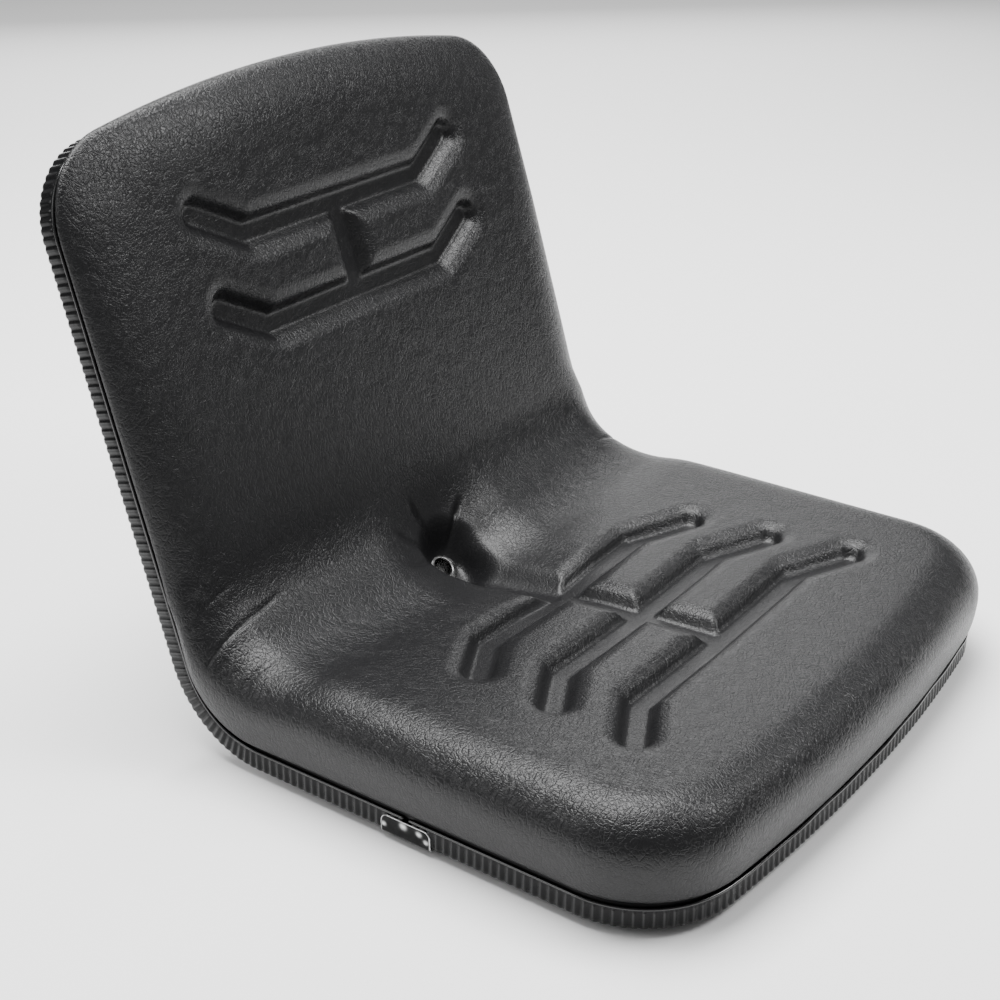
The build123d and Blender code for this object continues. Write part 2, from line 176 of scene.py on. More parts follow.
def rim_point(along, height):
    """Side view (y, z) of a place along the rim line and a height square to it, in mm."""
    along = np.asarray(along, float)[..., None]
    height = np.asarray(height, float)[..., None]
    seat = np.concatenate((along + 0 * height, rim_height + height + 0 * along), -1)
    turn = (along - bend_start) / bend_radius
    bend = bend_centre + (bend_radius - height) * np.concatenate((np.sin(turn), -np.cos(turn)), -1)
    back = back_foot + (along - bend_end) * back_along + height * back_out
    return np.where(along < bend_start, seat, np.where(along < bend_end, bend, back))


def ramp(value, low, high):
    """0 below low, 1 above high, smooth between."""
    part = np.clip((value - low) / (high - low), 0, 1)
    return part * part * (3 - 2 * part)


def outline_end(end, angle, inset):
    """Flat (x, along) at an angle from the middle of an end, set in from the outline."""
    side = np.sign(angle)
    angle = np.abs(angle)
    on_arc = np.minimum(angle, end["turn"])
    arc = end["arc"] - inset
    corner = end["corner"] - inset
    past = angle > end["turn"]
    x = np.where(past, half_width - end["corner"] + corner * np.sin(angle), arc * np.sin(on_arc))
    along = np.where(
        past,
        end["corner_centre"] + end["sense"] * corner * np.cos(angle),
        end["arc_centre"] + end["sense"] * arc * np.cos(on_arc),
    )
    return side * x, along


# Side view of the cushion's face: the seat's line, the hollow and the backrest's line.
seat_level = 72.9
seat_fall = 0.05
back_depth = 41.8
back_taper = 0.0179


def seat_face(y):
    return np.array((y, seat_level - seat_fall * y))


def back_face(up):
    return back_foot + up * back_along + (back_depth - back_taper * up) * back_out


hollow_radius = 84.0
seat_run = seat_face(1.0) - seat_face(0.0)
back_run = back_face(1.0) - back_face(0.0)
start = seat_face(0.0)
offset = back_face(0.0) - start
seat_to_corner = (offset[0] * back_run[1] - offset[1] * back_run[0]) / (
    seat_run[0] * back_run[1] - seat_run[1] * back_run[0]
)
face_corner = start + seat_to_corner * seat_run
up_to_corner = float((face_corner - back_face(0.0)) @ back_run / (back_run @ back_run))
seat_slope = atan2(seat_run[1], seat_run[0])
back_slope = atan2(back_run[1], back_run[0])
tangent = hollow_radius * tan((back_slope - seat_slope) / 2)
hollow_y = seat_to_corner - tangent * cos(seat_slope)
hollow_up = up_to_corner + tangent / hypot(*back_run)
hollow_centre = seat_face(hollow_y) + hollow_radius * np.array((-sin(seat_slope), cos(seat_slope)))
fan_start = 132.0
fan_end = bend_end + 14.0
fan_ease = 85.0


def face_point(along):
    """Side view of the cushion's face opposite a place along the rim line, its y on the seat,
    its distance round the hollow, and its distance up the backrest."""
    seat_y = np.interp(along, (fan_start - fan_ease, fan_start), (fan_start - fan_ease, hollow_y))
    seat_y = np.where(along < fan_start - fan_ease, along, seat_y)
    round_part = np.clip((along - fan_start) / (fan_end - fan_start), 0, 1)
    turn = seat_slope + round_part * (back_slope - seat_slope)
    hollow = hollow_centre + hollow_radius * np.stack((np.sin(turn), -np.cos(turn)), -1)
    up = np.interp(along, (fan_end, fan_end + fan_ease), (hollow_up, fan_end + fan_ease - bend_end))
    up = np.where(along > fan_end + fan_ease, along - bend_end, up)
    seat = np.stack((seat_y, seat_level - seat_fall * seat_y), -1)
    depth = back_depth - back_taper * up
    back = back_foot + up[..., None] * back_along + depth[..., None] * back_out
    wide = along[..., None]
    point = np.where(wide < fan_start, seat, np.where(wide < fan_end, hollow, back))
    return point, seat_y, round_part * hollow_radius * (back_slope - seat_slope), up


def line_distance(x, y, path):
    """Distance of flat points from a path of straight runs."""
    nearest = np.full(x.shape, 1e9)
    for (ax, ay), (bx, by) in zip(path, path[1:]):
        run = np.hypot(bx - ax, by - ay)
        part = np.clip(((x - ax) * (bx - ax) + (y - ay) * (by - ay)) / run ** 2, 0, 1)
        nearest = np.minimum(nearest, np.hypot(x - ax - part * (bx - ax), y - ay - part * (by - ay)))
    return nearest


def cross_groove(turn, leg, at, reach):
    """Path of a cross groove with both ends turned."""
    return [(-turn - leg, at + reach), (-turn, at), (turn, at), (turn + leg, at + reach)]


groove_depth = 10.5
groove_wall = (5.5, 13.5)
groove_shoulder = (8.0, 23.0)
wall_share = 0.66
groove_pitch = 64
seat_turn = 93
seat_turn_growth = 6
seat_leg = 43
seat_reach = -23
seat_rear = 61.5
seat_line_rear = 75
seat_paths = [
    cross_groove(seat_turn + seat_turn_growth * n, seat_leg, seat_rear - groove_pitch * n, seat_reach)
    for n in range(3)
]
seat_paths.append([(0, seat_line_rear), (0, seat_rear - 2 * groove_pitch)])
back_turn = 95
back_leg = 41
back_reach = 22
back_low = 195
back_paths = [cross_groove(back_turn, back_leg, back_low + groove_pitch * n, back_reach) for n in range(2)]
back_paths.append([(0, back_low), (0, back_low + groove_pitch)])


def groove_drop(distance):
    """Depth of a pressed groove: flat floor, steep wall, soft shoulder."""
    wall = 1 - ramp(distance, *groove_wall)
    shoulder = 1 - ramp(distance, *groove_shoulder)
    return groove_depth * (wall_share * wall + (1 - wall_share) * shoulder)


def stations(*runs):
    """Places along a line, from (end, spacing) runs after a first (start, 0)."""
    places = [runs[0][0]]
    for (low, _), (high, spacing) in zip(runs, runs[1:]):
        count = max(1, round(abs(high - low) / spacing))
        places += [low + (high - low) * (n + 1) / count for n in range(count)]
    return np.array(places)


# The sheet starts as a grid. Its sides carry on into the rounded edge, the wall and the tuck.
corner_steps = 7
edge_start = 52.0
side_stations = stations(
    (front_end["corner_centre"], 0),
    (120, 2),
    (bend_end + 30, 2),
    (bend_end + 175, 4),
    (top_end["corner_centre"], 2),
)
across_count = 169
across_stations = np.linspace(-1, 1, across_count)
columns = across_count - 1 + 2 * corner_steps
rows = len(side_stations) - 1 + 2 * corner_steps

sheet = bmesh.new()
bmesh.ops.create_grid(sheet, x_segments=columns, y_segments=rows, size=0.5)
round_steps = 12
wall_steps = 7
tuck_steps = 5
rings = 1 + round_steps + wall_steps + tuck_steps
border = [edge for edge in sheet.edges if edge.is_boundary]
for ring in range(rings):
    grown = bmesh.ops.extrude_edge_only(sheet, edges=border)["geom"]
    border = [edge for edge in grown if isinstance(edge, bmesh.types.BMEdge)]
    for vert in grown:
        if isinstance(vert, bmesh.types.BMVert):
            vert.co.z = ring + 1
grid_side = 0.4999
left_edge = [edge for edge in border if all(vert.co.x < -grid_side for vert in edge.verts)]
right_edge = [edge for edge in border if all(vert.co.x > grid_side for vert in edge.verts)]
bmesh.ops.bridge_loops(sheet, edges=left_edge + right_edge)
bmesh.ops.holes_fill(sheet, edges=[edge for edge in sheet.edges if edge.is_boundary], sides=0)
cushion_mesh = bpy.data.meshes.new("cushion")
sheet.to_mesh(cushion_mesh)
sheet.free()

grid = np.empty(len(cushion_mesh.vertices) * 3)
cushion_mesh.vertices.foreach_get("co", grid)
grid = grid.reshape(-1, 3)
column = np.rint((grid[:, 0] + 0.5) * columns).astype(int)
row = np.rint((grid[:, 1] + 0.5) * rows).astype(int)
ring = np.rint(grid[:, 2]).astype(int)

# Sizes of the edge, where a pair is given at the seat and at the backrest.
edge_change = (90, bend_end + 40)
edge_width = (38, 48)
edge_tuck = (7.0, 2.0)
shoulder_depth = 33.0
least_wall = 0.5
wall_bow = 2.5
tuck_reach = 11


def edge_profile(ring, along, height):
    """Inset and height of the edge's rings: a rounded shoulder, a bulging wall and the tuck."""
    to_back = ramp(along, *edge_change)
    width = edge_width[0] + (edge_width[1] - edge_width[0]) * to_back
    tuck = edge_tuck[0] + (edge_tuck[1] - edge_tuck[0]) * to_back
    depth = np.minimum(shoulder_depth, height - tuck - least_wall)
    turn = np.clip((ring - 1) / round_steps, 0, 1) * pi / 2
    inset = width * (1 - np.sin(turn))
    level = height - depth * (1 - np.cos(turn))
    down = np.clip((ring - 1 - round_steps) / wall_steps, 0, 1)
    level = level - down * (height - depth - tuck)
    inset = inset + wall_bow * down ** 2
    under = np.clip((ring - 1 - round_steps - wall_steps) / tuck_steps, 0, 1) * pi / 2
    inset = inset + tuck_reach * (1 - np.cos(under))
    level = level - tuck * np.sin(under)
    flat = ring == 0
    return np.where(flat, edge_start, inset), np.where(flat, height, level)


def end_angles(end):
    """Angles of the columns along an end, from one corner's middle to the other's."""
    on_arc = np.arcsin(across_stations * sin(end["turn"]))
    middle = (end["turn"] + pi / 2) / 2
    corner = np.linspace(end["turn"], middle, corner_steps + 1)[1:]
    return np.concatenate((-corner[::-1], on_arc, corner))


def side_places(inset):
    """Flat (x, along) of the rows up a side, from one corner's middle to the other's."""
    xs = []
    alongs = []
    for end in (front_end, top_end):
        middle = (end["turn"] + pi / 2) / 2
        angles = np.linspace(middle, pi / 2, corner_steps + 1)[:-1]
        x, along = outline_end(end, angles[:, None], inset)
        xs.append(x)
        alongs.append(along)
    straight = side_stations[:, None] + 0 * inset
    x = np.concatenate((xs[0], half_width - inset + 0 * straight, xs[1][::-1]))
    along = np.concatenate((alongs[0], straight, alongs[1][::-1]))
    return x, along


# Flat places of every point: the middle is blended from its four sides.
front_x, front_s = outline_end(front_end, end_angles(front_end), edge_start)
top_x, top_s = outline_end(top_end, end_angles(top_end), edge_start)
side_x, side_s = side_places(np.array((edge_start,)))
side_x, side_s = side_x[:, 0], side_s[:, 0]
u = (front_x - front_x[0]) / (front_x[-1] - front_x[0])
v = (side_s - side_s[0]) / (side_s[-1] - side_s[0])


def blended(front, top, left, right):
    """Coons patch of four sides."""
    cu, cv = u[column], v[row]
    ruled_v = (1 - cv) * front[column] + cv * top[column]
    ruled_u = (1 - cu) * left[row] + cu * right[row]
    front_corners = (1 - cu) * front[0] + cu * front[-1]
    top_corners = (1 - cu) * top[0] + cu * top[-1]
    return ruled_v + ruled_u - ((1 - cv) * front_corners + cv * top_corners)


flat_x = blended(front_x, top_x, -side_x, side_x)
flat_s = blended(front_s, top_s, side_s, side_s)

foot_height = 16.5
dish_depth = 8.4
dish_growth = 0.036
dish_half = 200
dish_end = 100
corner_slack = 0.32
slack_reach = (30, 170)


def face_height(x, along):
    """Height of the face over the pan, with the seat's dish, along the line from pan to face."""
    face, seat_y, round_way, up = face_point(along)
    base = rim_point(along, foot_height)
    run = face - base
    length = np.hypot(run[..., 0], run[..., 1])
    dish = (dish_depth + dish_growth * seat_y) * (x / dish_half) ** 2
    dish = dish * (1 - ramp(along, dish_end, bend_end))
    to_corner = np.hypot(half_width - np.abs(x), top_end["at"] - along)
    slack = corner_slack * length * (1 - ramp(to_corner, *slack_reach))
    return base, run / length[..., None], length + dish - slack, seat_y, round_way, up


# The inset of an edge ring needs its height, and the height its place, so a few rounds settle both.
settle_rounds = 3
first_inset = 10.0
edge = ring > 0
at_front = row == 0
at_top = row == rows
at_side = (column == 0) | (column == columns)
inset = np.where(edge, first_inset, edge_start)
for settling in range(settle_rounds):
    for end, here in ((front_end, at_front), (top_end, at_top)):
        pick = edge & here
        x, along = outline_end(end, end_angles(end)[column[pick]], inset[pick])
        flat_x[pick], flat_s[pick] = x, along
    pick = edge & at_side & ~at_front & ~at_top
    some = inset[pick]
    x = np.empty(pick.sum())
    along = np.empty(pick.sum())
    number = row[pick]
    low = number < corner_steps
    high = number > rows - corner_steps
    for end, here, count in ((front_end, low, number), (top_end, high, rows - number)):
        middle = (end["turn"] + pi / 2) / 2
        angles = middle + (pi / 2 - middle) * count[here] / corner_steps
        x[here], along[here] = outline_end(end, angles, some[here])
    straight = ~low & ~high
    x[straight] = half_width - some[straight]
    along[straight] = side_stations[number[straight] - corner_steps]
    flat_x[pick] = x * np.where(column[pick] == 0, -1, 1)
    flat_s[pick] = along
    base, lift, height, seat_y, round_way, up = face_height(flat_x, flat_s)
    inset, level = edge_profile(ring, flat_s, height)

# Grooves, and the dent round the drain: a wide dip, a steep funnel and a channel from the seat.
drain_turn = radians(36.6)
flange_height = 34.0
dip_depth = 14.0
dip_reach = (5, 72)
dip_before = 0.5
funnel_floor = 32.0
funnel_reach = (7, 31)
funnel_past = 1.1
funnel_before = 0.7
channel_depth = 11.0
channel_reach = (2.5, 25)
channel_start = (-70, -45)
channel_end = (10, 6)
least_foam = 17.0
foam_ease = 2.0
dent_reach = 60
seat_stop = (118, 124)
backrest_start = (bend_end + 20, bend_end + 40)
on_seat = 1 - ramp(flat_s, *seat_stop)
seat_drop = groove_drop(np.min([line_distance(flat_x, seat_y, path) for path in seat_paths], axis=0))
on_backrest = ramp(flat_s, *backrest_start)
back_drop = groove_drop(np.min([line_distance(flat_x, up, path) for path in back_paths], axis=0))
eyelet_at = rim_point(bend_start + bend_radius * drain_turn, flange_height)
fan = np.linspace(fan_start, fan_end, 400)
fan_base, fan_lift, _, _, fan_way, _ = face_height(0 * fan, fan)
reach = eyelet_at - fan_base
beside = reach[:, 0] * fan_lift[:, 1] - reach[:, 1] * fan_lift[:, 0]
drain_way = fan_way[np.argmin(np.abs(beside))]
up_way = np.maximum(0, up - hollow_up) * (flat_s > fan_end)
face_way = np.where(flat_s < fan_start, seat_y - hollow_y, round_way + up_way)
past_drain = np.maximum(0, face_way - drain_way)
before_drain = np.maximum(0, drain_way - face_way)
dip_off = np.hypot(flat_x, past_drain + dip_before * before_drain)
dip = dip_depth * (1 - ramp(dip_off, *dip_reach))
funnel_off = np.hypot(flat_x, funnel_past * past_drain + funnel_before * before_drain)
funnel = (height - funnel_floor) * (1 - ramp(funnel_off, *funnel_reach))
channel = channel_depth * (1 - ramp(np.abs(flat_x), *channel_reach))
channel_stop = ramp(face_way, drain_way - channel_end[0], drain_way + channel_end[1])
channel = channel * ramp(face_way, *channel_start) * (1 - channel_stop)

# Creases in the skin: at the eyelet, and where the sides fold between seat and backrest.
# Each row is a path of (x, way along the face), a depth and a half width.
creases = (
    (((-17, 97), (-11, 79), (-5, 62)), 4.6, 3.2),
    (((38, 78), (23, 68), (10, 56)), 5.0, 3.6),
    (((-47, 79), (-34, 68), (-14, 55)), 2.6, 2.6),
    (((-58, 50), (-38, 48), (-16, 50)), 1.6, 2.4),
    (((-236, 73), (-201, 74), (-158, 80)), 2.2, 2.8),
    (((-232, 102), (-190, 100)), 1.3, 2.6),
    (((-232, 41), (-198, 38)), 1.3, 2.6),
    (((236, 52), (194, 55)), 1.4, 3.0),
)
eyelet_zone = 100
crease_fade = 14
side_crease_fade = 30
ridge_share = 0.25
ridge_off = 5
ridge_half = 4
crease = np.zeros(len(grid))
for path, depth, width in creases:
    off = line_distance(flat_x, face_way, path)
    ends = np.minimum(*(np.hypot(flat_x - x, face_way - way) for x, way in (path[0], path[-1])))
    inner = abs(path[-1][0])
    if abs(path[0][0]) < eyelet_zone:
        fade = ramp(ends, 0, crease_fade)
    else:
        fade = ramp(np.abs(flat_x), inner, inner + side_crease_fade)
    furrow = depth * fade * (1 - ramp(off, 0, width))
    ridge = ridge_share * depth * fade * (1 - ramp(np.abs(off - ridge_off), 0, ridge_half))
    crease = np.maximum(crease, furrow - ridge)
drop = np.maximum(np.maximum(seat_drop * on_seat, back_drop * on_backrest), channel) + dip + funnel
floor_drop = height - least_foam
eased = floor_drop - foam_ease * np.log1p(np.exp((floor_drop - drop) / foam_ease))
drop = np.where(funnel_off < dent_reach, eased, drop)
crease_rings = 16
level = level - np.where(edge, 0, drop) - crease * (ring < crease_rings)
back_narrowing = 0.015
narrowing_reach = (bend_end - 20, bend_end + 80)
flat_x = flat_x * (1 - back_narrowing * ramp(flat_s, *narrowing_reach))

# The backrest's top corners round off more towards the face than at the rim.
corner_size = 78
corner_pull = 8.0
pull_start = 60
pull_rings = (4, 12)
from_x = np.maximum(0, np.abs(flat_x) - half_width + corner_size)
from_s = np.maximum(0, flat_s - top_end["at"] + corner_size)
from_centre = np.hypot(from_x, from_s) + 0.001
diagonal = 2 * from_x * from_s / from_centre**2
pull = corner_pull * diagonal**2 * np.minimum(1, from_centre / pull_start) * (1 - ramp(ring, *pull_rings))
flat_x = flat_x - np.sign(flat_x) * pull * from_x / from_centre
flat_s = flat_s - pull * from_s / from_centre
base = rim_point(flat_s, foot_height)

shape = np.empty((len(grid), 3))
shape[:, 0] = flat_x
shape[:, 1:] = base + lift * level[:, None]
cushion_mesh.vertices.foreach_set("co", (shape * mm).ravel())
pressed = cushion_mesh.attributes.new("pressed", "FLOAT", "POINT")
pressed.data.foreach_set("value", np.where(edge, 0, drop / groove_depth) + 0.6 * crease)
stretched = cushion_mesh.attributes.new("stretched", "FLOAT", "POINT")
on_shoulder = ramp(ring, 1, 5) * (1 - ramp(ring, 13, 18))
stretched.data.foreach_set("value", np.where(edge, on_shoulder, 0.0))
cushion_mesh.polygons.foreach_set("use_smooth", np.ones(len(cushion_mesh.polygons), bool))
cushion_mesh.update()
cushion = bpy.data.objects.new("cushion", cushion_mesh)
bpy.context.collection.objects.link(cushion)
outward = bmesh.new()
outward.from_mesh(cushion_mesh)
bmesh.ops.recalc_face_normals(outward, faces=outward.faces)
outward.to_mesh(cushion_mesh)
outward.free()


def piece(name, shape):
    """Object at the origin from a finished bmesh, shaded smooth."""
    for face in shape.faces:
        face.smooth = True
    mesh = bpy.data.meshes.new(name)
    shape.to_mesh(mesh)
    shape.free()
    made = bpy.data.objects.new(name, mesh)
    bpy.context.collection.objects.link(made)
    return made


# The drain's bore runs through skin and foam, inside the wall of the eyelet's tube.
drain_root = rim_point(bend_start + bend_radius * drain_turn, 0.0) * mm
drain_stand = Matrix.Translation((0, *drain_root)) @ Matrix.Rotation(drain_turn, 4, "X")
bore_radius = 7.6
bore_length = 120
drill_shape = bmesh.new()
bmesh.ops.create_cone(
    drill_shape,
    cap_ends=True,
    segments=64,
    radius1=bore_radius * mm,
    radius2=bore_radius * mm,
    depth=bore_length * mm,
    matrix=drain_stand,
)
drill = piece("drill", drill_shape)
bore = cushion.modifiers.new("bore", "BOOLEAN")
bore.operation = "DIFFERENCE"
bore.solver = "EXACT"
bore.object = drill
bored = cushion.evaluated_get(bpy.context.evaluated_depsgraph_get())
cushion_mesh = bpy.data.meshes.new_from_object(bored)
cushion.modifiers.clear()
cushion.data = cushion_mesh
cushion_mesh.materials.clear()
bpy.data.objects.remove(drill)

vinyl = Finish("vinyl", (0.006, 0.006, 0.0065), 0.38)
vinyl.shader.inputs["Specular IOR Level"].default_value = 0.28
vinyl_haze = vinyl.noise(7.0, 4.0)
fine = vinyl.noise(1500.0, 2.0)


def wrinkles(scale, warp_scale, warp, stretch):
    """Creased-leather grain: the edges of warped, stretched cells are low, their middles high."""
    swirl = {"Vector": vinyl.place, "Scale": warp_scale}
    swirl = vinyl.wire.node("ShaderNodeTexNoise", {}, swirl, out="Color")
    bent = {0: swirl, 1: (warp, warp, warp), 2: vinyl.place}
    bent = vinyl.wire.node("ShaderNodeVectorMath", {"operation": "MULTIPLY_ADD"}, bent)
    bent = vinyl.wire.node("ShaderNodeMapping", {}, {"Vector": bent, "Scale": stretch})
    cells = vinyl.wire.node(
        "ShaderNodeTexVoronoi",
        {"feature": "DISTANCE_TO_EDGE"},
        {"Vector": bent, "Scale": scale},
        out="Distance",
    )
    return cells.between(0.0, 0.16)


strained = vinyl.mark("stretched")
coarse_grain = wrinkles(260.0, 60.0, 0.014, (1, 1, 0.55))
fine_grain = wrinkles(520.0, 90.0, 0.01, (1, 0.6, 1))
grain = coarse_grain * 0.6 + fine_grain * 0.4
sunk = vinyl.mark("pressed").between(0.2, 1.2)
shade = vinyl_haze * 0.5 + grain * 0.5
vinyl.feed("Base Color", shade.tint((0.004, 0.004, 0.0045, 1), (0.009, 0.009, 0.0096, 1)))
vinyl.feed("Roughness", vinyl_haze * 0.1 + fine * 0.08 + 0.26 - grain * 0.05)
vinyl.bump(grain * (strained * 0.2 + 0.8) * (1 - sunk * 0.5) + fine * 0.12, 0.0004, 0.55)
cushion_mesh.materials.append(vinyl.material)
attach(cushion, "root")
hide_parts("vinyl_cover", "foam_cushion")

# Drain eyelet: pressed from dark plated sheet, a tube with a rolled flange, clamped by a washer
# behind the pan. The plating is scuffed lighter in patches. Section as (radius, height).
eyelet_section = (
    (9.4, 10.2), (8.2, 10.0), (7.3, 10.6), (7.0, 12), (7.0, 34), (7.15, 35.1), (7.7, 35.9), (8.5, 36.1),
    (9.6, 35.8), (11.3, 35.5), (12.1, 35.3), (12.5, 34.7), (12.3, 34.1), (11.4, 33.9),
    (8.0, 33.8), (8.0, 11.4),
)


def lathe(name, section, place, steps):
    """Closed ring turned from a section of (radius, height), stood on a place."""
    turned = bmesh.new()
    verts = [turned.verts.new((r * mm, 0, h * mm)) for r, h in section]
    edges = [turned.edges.new(pair) for pair in zip(verts, verts[1:] + verts[:1])]
    bmesh.ops.spin(
        turned,
        geom=verts + edges,
        axis=(0, 0, 1),
        cent=(0, 0, 0),
        angle=2 * pi,
        steps=steps,
        use_merge=True,
    )
    bmesh.ops.recalc_face_normals(turned, faces=turned.faces)
    bmesh.ops.transform(turned, matrix=place, verts=turned.verts)
    return piece(name, turned)


eyelet = lathe("eyelet", eyelet_section, drain_stand, 64)
eyelet_metal = Finish("eyelet_metal", (0.16, 0.16, 0.16), 0.3, 1.0)
eyelet_scuff = eyelet_metal.noise(300.0, 3.0)
eyelet_metal.feed("Base Color", eyelet_scuff.tint((0.05, 0.05, 0.05, 1), (0.2, 0.2, 0.2, 1)))
eyelet_metal.feed("Roughness", eyelet_scuff * 0.3 + 0.14)
eyelet.data.materials.append(eyelet_metal.material)
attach(eyelet, "root")
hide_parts("drain_eyelet")
dress("eyelet_washer", eyelet_metal)

# Edge trim: one black vinyl strip of U section, pushed over the rim and the cover's edge. Ribs run
# across its outer leg, a bead along its lip, and its two ends meet at the left, under the clip.
rib_pitch = 6.0
rib_steps = 6
rib_height = 0.8
joint = 21.3
joint_gap = 5.0
bead_height = 13.8
bead_inset = 1.5
lip_start = 11
lip_height = 4.5
# Waves of the front lip, each a size, a length over two pi and a start.
lip_waves = ((0.35, 9.0, 0), (0.3, 23.0, 1))
rib_shape = np.array((0, 0, 0.7, 1, 1, 0.7))
# Section of the strip: inset from its outer face, height, and how much of the rib it carries.
trim_section = np.array((
    (2.2, 14.5, 0), (1.6, 15.3, 0), (0.4, 15.5, 0), (-0.5, 15.1, 0), (-0.8, 14.4, 0), (-0.5, 13.8, 0),
    (0.2, 13.4, 0.2), (0.2, 12.7, 0.9), (0, 10, 1), (0, 6, 1), (0, 3, 1), (0.2, 1.5, 1), (0.9, 0.5, 0.9),
    (2.2, 0.1, 0.5), (4.5, 0, 0), (6.6, 0.4, 0), (7.4, 1.8, 0), (7.4, 7, 0), (7.2, 11.6, 0), (6.3, 12, 0),
    (5.5, 11.4, 0), (5.4, 6, 0), (5.2, 3.3, 0), (3.8, 2.5, 0), (2.5, 3.2, 0), (2.2, 6, 0), (2.2, 14.5, 0),
))


def trim_path():
    """Trim's outer face in the flat, from one end of the strip to the other: x, along, outward."""
    turns = np.linspace(-pi / 2, pi / 2, 2400)
    front_x, front_s = outline_end(front_end, turns, bulge)
    top_x, top_s = outline_end(top_end, turns[::-1], bulge)
    joint_ends = (joint - joint_gap / 2, joint + joint_gap / 2)
    x = np.concatenate(((-half_width + bulge,), front_x, top_x, (-half_width + bulge,)))
    along = np.concatenate((joint_ends[:1], front_s, top_s, joint_ends[1:]))
    aim = np.concatenate(((-pi / 2,), turns, turns[::-1], (-pi / 2,)))
    sense = np.where(along < bend_start, -1, 1)
    way = np.concatenate(((0,), np.cumsum(np.hypot(np.diff(x), np.diff(along)))))
    ribs = round(way[-1] / rib_pitch)
    places = np.linspace(0, way[-1], ribs * rib_steps + 1)
    return [np.interp(places, way, values) for values in (x, along, np.sin(aim), np.cos(aim) * sense)]


path_x, path_s, out_x, out_s = trim_path()
strip = bmesh.new()
shine = strip.verts.layers.float.new("shine")
bmesh.ops.create_grid(strip, x_segments=len(path_x) - 1, y_segments=len(trim_section) - 1, size=0.5)
for vert in strip.verts:
    step = round((vert.co.x + 0.5) * (len(path_x) - 1))
    inset, height, ribbed = trim_section[round((vert.co.y + 0.5) * (len(trim_section) - 1))]
    lip = max(0.0, height - lip_start) / lip_height * max(0.0, -out_s[step]) * (path_s[step] < 0)
    wave = sum(size * sin(path_x[step] / length + start) for size, length, start in lip_waves)
    on_bead = height > bead_height and inset < bead_inset
    vert[shine] = 1.0 if on_bead else 0.5 * ribbed * (step % rib_steps == 3)
    inset -= rib_height * ribbed * rib_shape[step % rib_steps] + lip * wave
    side = rim_point(path_s[step] - inset * out_s[step], height)
    vert.co = Vector((path_x[step] - inset * out_x[step], *side)) * mm
bmesh.ops.remove_doubles(strip, verts=strip.verts, dist=0.02 * mm)
bmesh.ops.holes_fill(strip, edges=[edge for edge in strip.edges if edge.is_boundary], sides=0)
bmesh.ops.recalc_face_normals(strip, faces=strip.faces)
trim = piece("trim", strip)
trim_vinyl = Finish("trim_vinyl", (0.01, 0.01, 0.011), 0.28)
trim_vinyl.shader.inputs["Specular IOR Level"].default_value = 0.16
trim_vinyl.shader.inputs["Coat Roughness"].default_value = 0.12
trim_haze = trim_vinyl.noise(60.0, 3.0)
trim_vinyl.feed("Roughness", trim_haze * 0.2 + 0.14)
trim_vinyl.feed("Base Color", trim_haze.tint((0.002, 0.002, 0.0022, 1), (0.006, 0.006, 0.0065, 1)))
trim_vinyl.feed("Coat Weight", trim_vinyl.mark("shine"))
trim_vinyl.bump(trim_vinyl.noise(700.0, 2.0), 0.00008, 0.4)
trim.data.materials.append(trim_vinyl.material)
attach(trim, "root")
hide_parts("edge_trim")

# Trim clip: a folded strip of thin steel, pressed up over the joint of the trim's two ends and
# dimpled to bite. Its ends and top edge are painted lighter, and each dimple carries a painted highlight.
clip_half = 19.5
clip_top = 12.3
clip_corner = 5.0
clip_sheet = 0.9
dimple_depth = 0.8
dimple_stretch = 1.2
# The ends and the top edge of the clip are painted lighter in its base colour.
bright_ends = (0.475, 0.495)
bright_top = (0.485, 0.497)
# Dimples as (place along the clip, height, size), and the fold as (inset, height).
dimples = ((17.0, 5.4, 1.5), (1.5, 9.3, 2.2), (-11.0, 8.6, 1.7), (-16.5, 4.7, 1.5))
fold = np.array((
    (-0.9, clip_top), (-0.9, 11.6), (-0.9, 0.4), (-0.5, -0.5), (0.4, -0.95),
    (7.2, -0.95), (8.1, -0.5), (8.4, 0.4), (8.4, 9),
))
fold_way = np.concatenate(((0,), np.cumsum(np.hypot(*np.diff(fold, axis=0).T))))
plate = bmesh.new()
dimple_highlight_and_bright_edge = plate.verts.layers.float.new("dimple_highlight_and_bright_edge")
bmesh.ops.create_grid(plate, x_segments=78, y_segments=60, size=0.5)
for vert in plate.verts:
    place = (0.5 - vert.co.y) * fold_way[-1]
    inset = np.interp(place, fold_way, fold[:, 0])
    height = np.interp(place, fold_way, fold[:, 1])
    rounded = max(0.0, height - (clip_top - clip_corner)) * (inset < 0)
    half = clip_half - clip_corner + sqrt(max(0.0, clip_corner ** 2 - rounded ** 2))
    y = 2 * vert.co.x * half
    bite = 0.0
    for at, up, size in dimples:
        off = (y - at) ** 2 / (dimple_stretch * size) ** 2 + (height - up) ** 2 / size ** 2
        bite += dimple_depth * np.exp(-off)
    x = -half_width + bulge + inset - bite * (inset < 0)
    # The mark holds the painted highlight in each dimple and the painted lighter ends and top edge.
    end_bright = float(ramp(abs(vert.co.x), *bright_ends))
    top_bright = float(ramp(vert.co.y, *bright_top)) * (inset < 0)
    vert[dimple_highlight_and_bright_edge] = max(bite, end_bright, top_bright)
    vert.co = Vector((x, joint + y, rim_height + height)) * mm
bmesh.ops.recalc_face_normals(plate, faces=plate.faces)
clip = piece("clip", plate)
sheet_metal = clip.modifiers.new("sheet", "SOLIDIFY")
sheet_metal.thickness = clip_sheet * mm
sheet_metal.offset = 0.0
clip_steel = Finish("clip_steel", (0.3, 0.3, 0.3), 0.35, 1.0)
clip_rub = clip_steel.noise(220.0, 4.0)
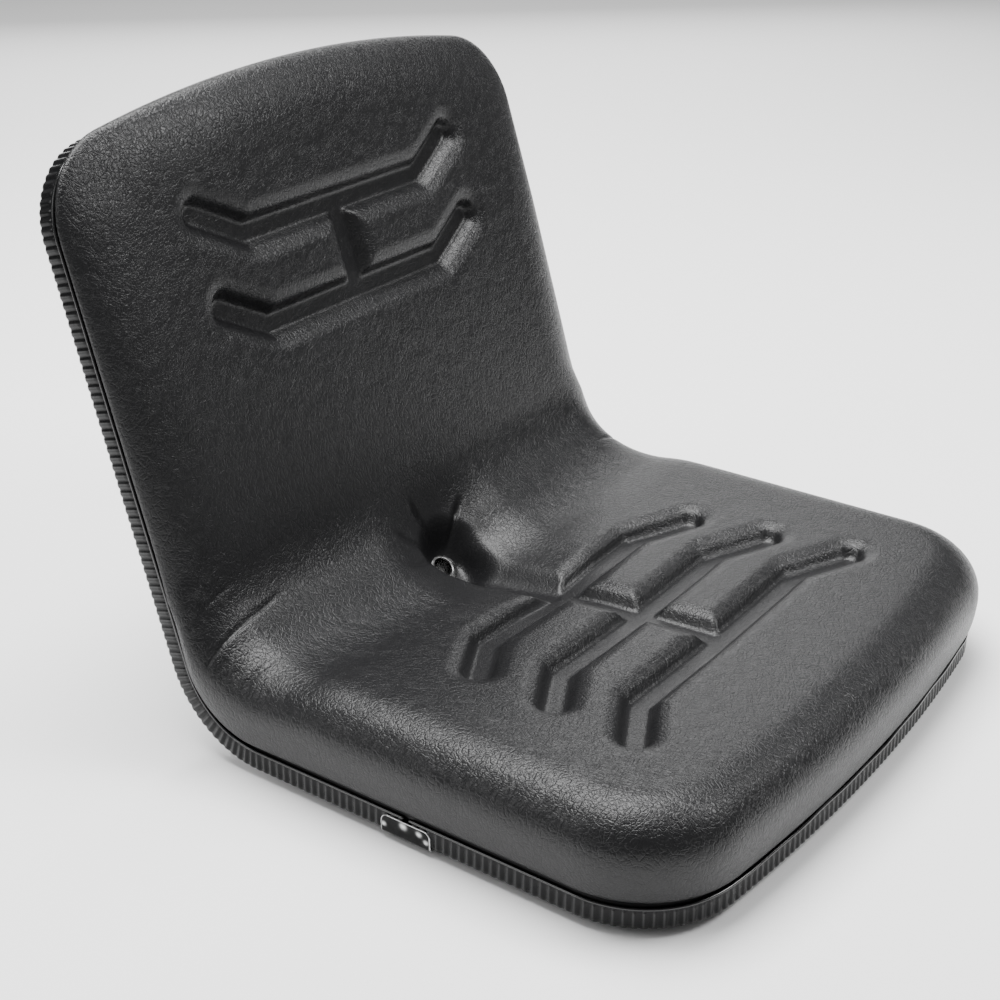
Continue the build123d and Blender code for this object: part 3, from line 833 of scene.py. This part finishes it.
# Base colour: painted highlights in the dimples, lighter ends and top edge, and random scuffs.
clip_bright = (clip_steel.mark("dimple_highlight_and_bright_edge") + clip_rub * 0.16).between(0.05, 0.9)
clip_steel.feed("Base Color", clip_bright.tint((0.01, 0.01, 0.01, 1), (0.6, 0.6, 0.6, 1)))
clip_steel.feed("Roughness", clip_rub * 0.3 + 0.2)
clip.data.materials.append(clip_steel.material)
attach(clip, "root")
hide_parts("trim_joint_clip")

# Studio: a pale floor and a white sky, one strong soft light overhead, three weaker ones from behind,
# in front and the left, and the camera where the photograph was taken.
floor_half = 20.0
sky_strength = 0.28
floor_mesh = bpy.data.meshes.new("floor")
floor_shape = bmesh.new()
bmesh.ops.create_grid(floor_shape, x_segments=1, y_segments=1, size=floor_half)
floor_shape.to_mesh(floor_mesh)
floor_shape.free()
floor = bpy.data.objects.new("floor", floor_mesh)
bpy.context.collection.objects.link(floor)
floor_white = Finish("floor_white", (0.93, 0.93, 0.93), 0.8)
floor_mesh.materials.append(floor_white.material)

world = bpy.data.worlds.new("studio")
bpy.context.scene.world = world
world.use_nodes = True
world.node_tree.nodes["Background"].inputs["Color"].default_value = (1, 1, 1, 1)
world.node_tree.nodes["Background"].inputs["Strength"].default_value = sky_strength


def soft_light(name, place, aim, size, power):
    """Rectangular light of a size in metres and a power in watts, aimed at a point."""
    light = bpy.data.lights.new(name, "AREA")
    light.shape = "RECTANGLE"
    light.size, light.size_y = size
    light.energy = power
    lamp = bpy.data.objects.new(name, light)
    lamp.location = place
    lamp.rotation_euler = (Vector(aim) - Vector(place)).to_track_quat("-Z", "Y").to_euler()
    bpy.context.collection.objects.link(lamp)


soft_light("overhead", place=(0.1, 0.5, 2.1), aim=(0, 0.0, 0.1), size=(1.8, 1.4), power=140)
soft_light("behind", place=(1.7, 1.6, 0.9), aim=(0, 0, 0.1), size=(2.4, 1.2), power=24)
soft_light("front", place=(1.0, -1.2, 1.8), aim=(-0.15, 0.28, 0.38), size=(0.9, 0.7), power=34)
soft_light("left", place=(-1.5, 0.9, 1.2), aim=(0, 0.15, 0.2), size=(0.7, 1.0), power=8)

camera_data = bpy.data.cameras.new("camera")
camera_data.sensor_width = 36.0
camera_data.lens = 62.834
camera = bpy.data.objects.new("camera", camera_data)
camera_place = Matrix.Translation((-0.92079, -0.54509, 0.67266))
camera_view = Vector((0.72956, 0.52595, -0.43718))
camera_side = Vector((0.585, -0.811, 0)).normalized()
camera_rise = camera_side.cross(camera_view)
camera_turn = Matrix((camera_side, camera_rise, -camera_view)).transposed()
camera.matrix_world = camera_place @ camera_turn.to_4x4()
bpy.context.collection.objects.link(camera)
bpy.context.scene.camera = camera
